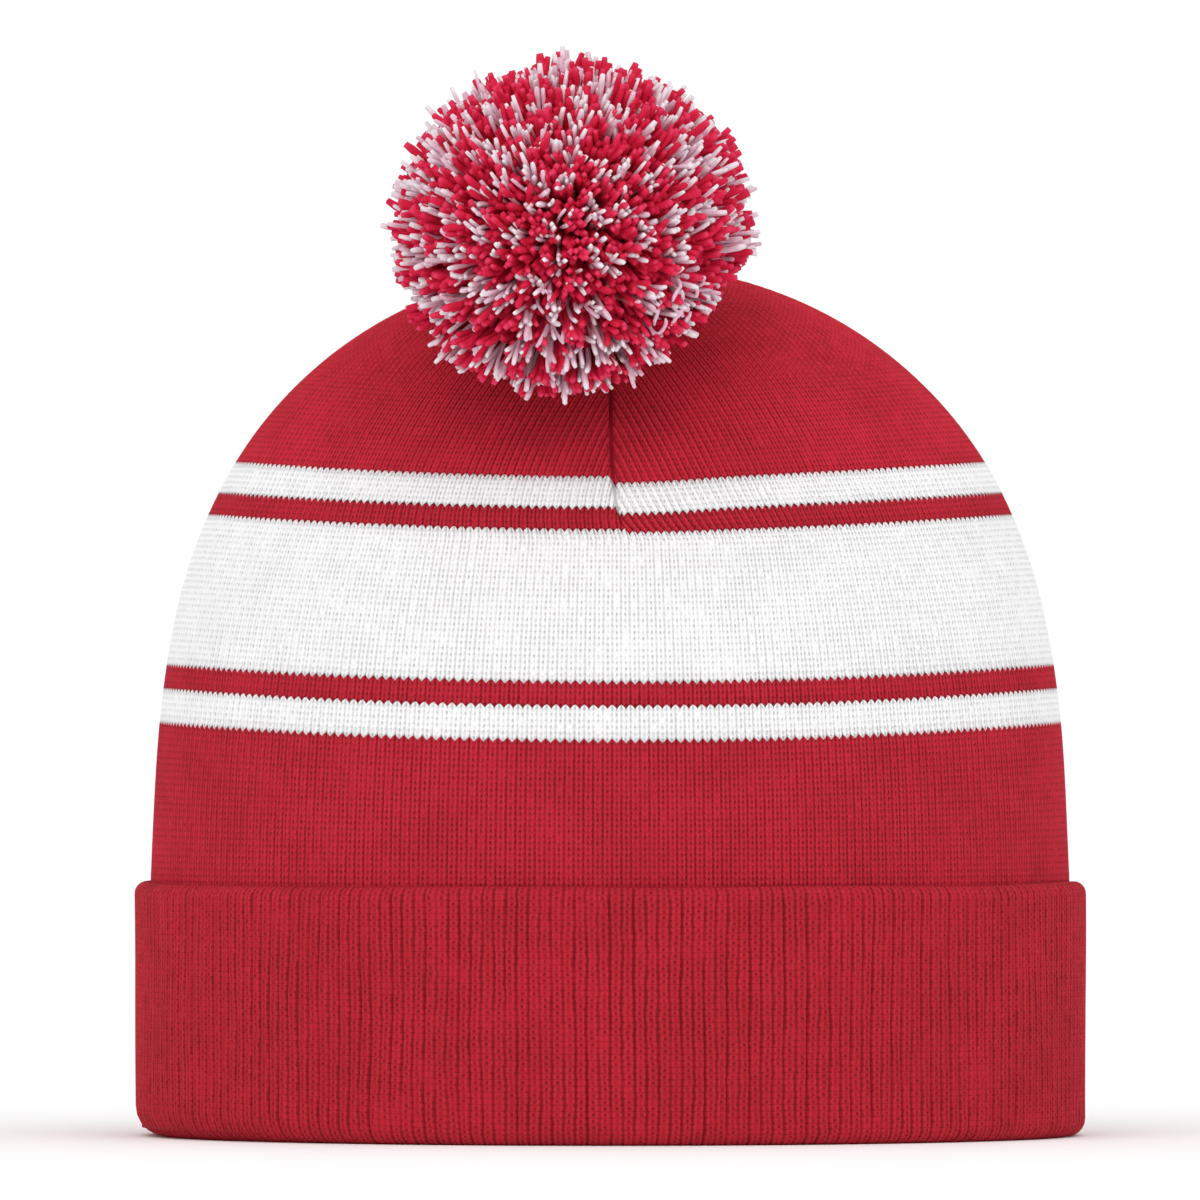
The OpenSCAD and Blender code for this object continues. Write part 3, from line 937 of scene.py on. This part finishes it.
def knit_material(name, light, dark, shade_colour, spot_shade, line_shade, line_from=0.37, wander=0.15):
    """Knitted yarn: plump slanting legs, with painted shade in the dots between them, in the gaps between
    courses and in the lines between wales, and a painted highlight on the crests of the legs.

    The knit coordinates count wales across and courses up. wander moves the lines to the side,
    in wales, and line_from is how far from the middle of a wale its dark line begins.
    """
    m = Nodes(name)
    wale, course = m.uv("knit")
    drift = m.times(m.minus(m.noise(330.0, 2.0), 0.5), wander)
    from_middle = m.away(m.math("FRACT", m.plus(wale, drift)), 0.5)
    from_join = m.away(m.math("FRACT", course), 0.5)
    leg = m.minus(1.0, m.math("POWER", m.times(from_join, 2.0), 3.0))
    across = m.math("DIVIDE", from_middle, 0.15)
    along = m.math("DIVIDE", from_join, 0.36)
    spot = m.minus(1.0, m.ramp(m.plus(m.times(across, across), m.times(along, along)), 0.1, 1.0))
    spot = m.times(spot, m.ramp(m.noise(420.0, 2.0), 0.25, 0.6))
    between = m.minus(1.0, leg)
    groove = m.ramp(m.plus(from_middle, m.times(between, 0.05)), line_from, 0.48)
    groove = m.times(groove, m.ramp(m.noise(110.0, 2.0), 0.2, 0.62))
    # Painted highlight: a paler copy of the yarn's colour laid on the crests of the legs, where the fuzz is
    # high.
    crest_highlight = m.minus(1.0, m.ramp(m.away(from_middle, 0.26), 0.0, 0.16))
    fuzz = m.noise(2600.0, 4.0, 0.7)
    highlight_colour = tuple(min(1.0, c * 1.25 + 0.02) for c in light[:3]) + (1.0,)
    base = m.mix(m.ramp(m.noise(60.0, 3.0), 0.35, 0.7), light, dark)
    base = m.mix(m.times(m.times(crest_highlight, m.ramp(fuzz, 0.35, 0.7)), 0.55), base, highlight_colour)
    # Painted shade: the gaps between courses, the dots between the legs and the grooves between wales are
    # darkened towards the dark colour.
    base = m.mix(m.times(between, 0.3 * line_shade), base, shade_colour)
    base = m.mix(m.times(spot, spot_shade), base, shade_colour)
    m.base(m.mix(m.times(groove, line_shade), base, shade_colour))
    height = m.minus(m.times(leg, 0.5), m.times(spot, 0.8))
    height = m.minus(height, m.times(groove, 0.5))
    m.bump(m.plus(height, m.times(fuzz, 0.55)), 0.8, 0.0004)
    return m.finish(0.88, 0.26, light)


def yarn_material(name, light, dark, tip, tip_from):
    """Cut pom pom yarn: fibres along the strand, darker towards the root as painted shade deep in the ball,
    and paler at the cut tip.
    """
    m = Nodes(name)
    strand, place = m.uv("yarn")
    fuzz = m.noise(2400.0, 4.0, 0.7)
    vary = m.noise(340.0, 2.0)
    base = m.mix(m.ramp(vary, 0.3, 0.7), light, dark)
    base = m.mix(m.times(m.ramp(fuzz, 0.45, 0.75), 0.3), base, tip)
    # Painted shade: the strand darkens towards its root, inside the ball.
    base = m.mix(m.ramp(place, 0.1, 0.6), dark, base)
    m.base(m.mix(m.times(m.ramp(place, tip_from, 1.0), m.ramp(strand, 0.1, 0.4)), base, tip))
    m.bump(m.plus(fuzz, m.times(vary, 0.5)), 0.8, 0.0005)
    return m.finish(0.9, 0.3, light)


def thread_material(name, light, dark):
    """Twisted thread: fine slanting plies, with painted shade in the grooves between them."""
    m = Nodes(name)
    strand, place = m.uv("yarn")
    ply = m.away(m.math("FRACT", m.plus(m.times(place, 60.0), m.times(strand, 9.0))), 0.5)
    fuzz = m.noise(3000.0, 3.0)
    # Painted shade: the thread is darker where the plies sink between each other.
    m.base(m.mix(m.ramp(m.plus(ply, m.times(fuzz, 0.4)), 0.2, 0.7), dark, light))
    m.bump(m.plus(ply, fuzz), 0.5, 0.0002)
    return m.finish(0.7, 0.3, light)


def tape_material(name, light, dark):
    """Woven satin tape: fine warp and weft, painted darker where the weave lies lower as painted shade, and a
    soft gloss.
    """
    m = Nodes(name)
    u, v = m.uv("tape")
    warp = m.math("SINE", m.times(u, 520.0))
    weft = m.math("SINE", m.times(v, 1300.0))
    weave = m.plus(m.times(warp, weft), m.noise(900.0, 3.0))
    # Painted shade: the tape is darker where the weave's bump is low.
    m.base(m.mix(m.ramp(weave, 0.0, 1.4), dark, light))
    m.bump(weave, 0.35, 0.00015)
    return m.finish(0.45, 0.2, light)


# Each knit's third colour is its painted shade, and the two numbers after it set how strongly the dots and
# the lines are shaded.
RED = knit_material("red_knit", colour(0.50, 0.0125, 0.031), colour(0.43, 0.010, 0.026),
                    colour(0.13, 0.002, 0.006), 0.9, 0.55)
# Painted light: the crown's red is a lighter copy of the body's red, standing in for the light on the
# upturned crown.
LIT_CROWN_RED = knit_material("red_knit_crown_painted_lighter", colour(0.56, 0.0140, 0.035), colour(0.48, 0.011, 0.029),
                          colour(0.14, 0.002, 0.006), 0.9, 0.55)
CUFF_RED = knit_material("cuff_knit_red", colour(0.462, 0.0098, 0.0245), colour(0.395, 0.0080, 0.021),
                         colour(0.15, 0.003, 0.007), 0.8, 0.72, 0.33, 0.42)
WHITE = knit_material("white_knit", colour(0.94, 0.935, 0.945), colour(0.90, 0.895, 0.905),
                      colour(0.34, 0.33, 0.35), 0.62, 0.25)
POM_RED = yarn_material("pom_red_yarn_cut", colour(0.83, 0.013, 0.072), colour(0.72, 0.010, 0.052),
                        colour(0.87, 0.045, 0.130), 0.9)
POM_WHITE = yarn_material("pom_white_yarn_cut", colour(0.92, 0.63, 0.75), colour(0.88, 0.50, 0.65),
                          colour(0.99, 0.91, 0.96), 0.70)
POM_CORE = yarn_material("pom_core_red", colour(0.80, 0.012, 0.060), colour(0.70, 0.010, 0.048),
                         colour(0.82, 0.020, 0.080), 0.9)
TIE = thread_material("tie_thread_red", colour(0.50, 0.014, 0.034), colour(0.30, 0.006, 0.015))
SEAM = thread_material("seam_thread_red", colour(0.46, 0.012, 0.03), colour(0.25, 0.005, 0.012))
TAPE = tape_material("label_tape_white", colour(0.90, 0.90, 0.89), colour(0.78, 0.78, 0.77))


def place_piece(obj, material, slot, body, *nodes):
    obj.data.materials.append(material)
    if nodes:
        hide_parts(*nodes)
    if body:
        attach(obj, body)
    return obj


# ---------------- camera, light and floor

CAMERA_X = -0.0024
CAMERA_Z = 0.1263
FRAME_WIDTH = 0.2832
LENS = 560.0
SENSOR = 36.0
HAT_LIGHT = 0.72  # how strongly the white surroundings light the hat
BACKDROP = 1.02  # how bright they look to the camera
FLOOR_HALF = 6.0
# Name, azimuth from the front, elevation and softness in degrees, and strength
LIGHTS = (
    ("key_light", -34, 26, 60, 0.66),
    ("fill_light", 40, 18, 70, 0.40),
    ("top_light", 20, 66, 80, 0.80),
)


def link(name, data):
    obj = bpy.data.objects.new(name, data)
    bpy.context.scene.collection.objects.link(obj)
    return obj


def add_camera():
    camera = bpy.data.cameras.new("camera")
    camera.lens = LENS
    camera.sensor_width = SENSOR
    camera_object = link("camera", camera)
    camera_object.location = (CAMERA_X, -FRAME_WIDTH * LENS / SENSOR, CAMERA_Z)
    camera_object.rotation_euler = (math.pi / 2, 0, 0)
    bpy.context.scene.camera = camera_object


def add_world():
    """White surroundings that the camera sees brighter than they light the hat."""
    world = bpy.data.worlds.new("studio")
    bpy.context.scene.world = world
    world.use_nodes = True
    background = world.node_tree.nodes["Background"]
    background.inputs["Color"].default_value = colour(1.0, 1.0, 1.0)
    rays = world.node_tree.nodes.new("ShaderNodeLightPath")
    strength = world.node_tree.nodes.new("ShaderNodeMapRange")
    strength.inputs["To Min"].default_value = HAT_LIGHT
    strength.inputs["To Max"].default_value = BACKDROP
    world.node_tree.links.new(rays.outputs["Is Camera Ray"], strength.inputs["Value"])
    world.node_tree.links.new(strength.outputs[0], background.inputs["Strength"])


def add_lights():
    for name, azimuth, elevation, softness, power in LIGHTS:
        light = bpy.data.lights.new(name, "SUN")
        light.angle = math.radians(softness)
        light.energy = power
        turn, rise = math.radians(azimuth), math.radians(elevation)
        place = Vector((math.sin(turn) * math.cos(rise), -math.cos(turn) * math.cos(rise), math.sin(rise)))
        link(name, light).rotation_euler = (-place).to_track_quat("-Z", "Y").to_euler()


def add_floor():
    mesh = bpy.data.meshes.new("floor")
    signs = ((-1, -1), (1, -1), (1, 1), (-1, 1))
    mesh.from_pydata([(x * FLOOR_HALF, y * FLOOR_HALF, 0) for x, y in signs], [], [(0, 1, 2, 3)])
    floor = link("floor", mesh)
    paint = Nodes("floor_paint")
    paint.base(colour(0.97, 0.97, 0.97))
    paint.shader.inputs["Roughness"].default_value = 0.9
    floor.data.materials.append(paint.material)


def studio():
    add_camera()
    add_world()
    bpy.context.scene.view_settings.view_transform = "Standard"
    add_lights()
    add_floor()


# ---------------- the object

# How each layer is knitted
BODY_KNIT = {"depth": 0, "wales": BODY_WALES, "fine": FINE, "groove": BODY_GROOVE, "wobble": BODY_WOBBLE}
LINING_KNIT = {"depth": LINING_FACE, "wales": LINING_WALES, "fine": HIDDEN_FINE, "groove": LINING_GROOVE}
BACKING_KNIT = {"depth": -PLY, "wales": BACKING_WALES, "fine": HIDDEN_FINE, "groove": BACKING_GROOVE}
# Piece, CAD node, lower and upper edge, material and slot of each stripe
STRIPES = (
    ("lower_white_band", "lower_white_stripe", BODY_Z, LOWER_WHITE_Z, WHITE, "white_yarn"),
    ("lower_red_band", "lower_red_stripe", LOWER_WHITE_Z, LOWER_RED_Z, RED, "red_yarn"),
    ("wide_white_knit", "wide_white_band", LOWER_RED_Z, WIDE_WHITE_Z, WHITE, "white_yarn"),
    ("upper_red_band", "upper_red_stripe", WIDE_WHITE_Z, UPPER_RED_Z, RED, "red_yarn"),
    ("upper_white_band", "upper_white_stripe", UPPER_RED_Z, CAP_Z, WHITE, "white_yarn"),
)


def build_hat():
    pieces = {}
    body = belt("body_band", PLY, BODY_Z, BODY_STEP, **BODY_KNIT)
    pieces["body"] = place_piece(body, RED, "red_yarn", "hat", "body_knit")
    for name, node, low, high, material, slot in STRIPES:
        stripe = belt(name, low, high, BODY_STEP, **BODY_KNIT)
        pieces[name] = place_piece(stripe, material, slot, "hat", node)
    crown = cap("crown_cap", CAP_Z, CROWN_STEP, CROWN_PLAIN_STEP, **BODY_KNIT)
    # The crown takes the lighter red, painted light for its upturned face.
    pieces["crown"] = place_piece(crown, LIT_CROWN_RED, "red_yarn", "hat", "crown_knit")
    lining = cap("lining_knit", PLY, LINING_STEP, LINING_PLAIN_STEP, ribs_inside=True, **LINING_KNIT)
    pieces["lining"] = place_piece(lining, RED, "red_yarn", "hat", "lining")
    pieces["cuff"] = place_piece(cuff_piece(), CUFF_RED, "red_yarn", "hat", "cuff_face")
    backing = belt("cuff_backing_knit", PLY, CUFF_H - PLY * 1.1, BACKING_STEP, **BACKING_KNIT)
    pieces["backing"] = place_piece(backing, RED, "red_yarn", "hat", "cuff_backing")
    return pieces


def build_pom():
    place_piece(tie_bend(), TIE, "tie_thread", "tie_bend", "tie_loop")
    place_piece(tie_thread(), TIE, "tie_thread", "tie", "tie_shank")
    place_piece(binding_coil(), TIE, "tie_thread", "pom", "pom_binding")
    place_piece(pom_core(), POM_CORE, "pom_red", "pom")
    red = pom_strands("pom_red_strands", RED_STRANDS, RED_THICK, 5, 0.022, TUFTS[~WHITE_TUFTS])
    place_piece(red, POM_RED, "pom_red", "pom", "pom_red_yarn")
    white = pom_strands("pom_white_strands", WHITE_STRANDS, WHITE_THICK, 6, 0.026, TUFTS[WHITE_TUFTS])
    place_piece(white, POM_WHITE, "pom_white", "pom", "pom_white_yarn")
    place_piece(stray_strands(), POM_WHITE, "pom_white", "pom")


def build_label():
    """The label, folded at its lower end, and the stitches through its strip."""
    label = place_piece(label_piece(), TAPE, "label_tape", None, "label_hem", "label_flap")
    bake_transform(label)
    stitches = place_piece(label_stitching(), SEAM, "seam_thread", "hat", "label_stitches")


def build_all():
    pieces = build_hat()
    for side in DARTS:
        ridge, thread = seam_pieces(side)
        place_piece(ridge, SEAM, "seam_thread", "hat", "crown_seam_" + side)
        place_piece(thread, SEAM, "seam_thread", "hat")
    place_piece(anchor_knot(), TIE, "tie_thread", "hat", "tie_anchor_knot")
    build_pom()
    build_label()


build_all()
studio()
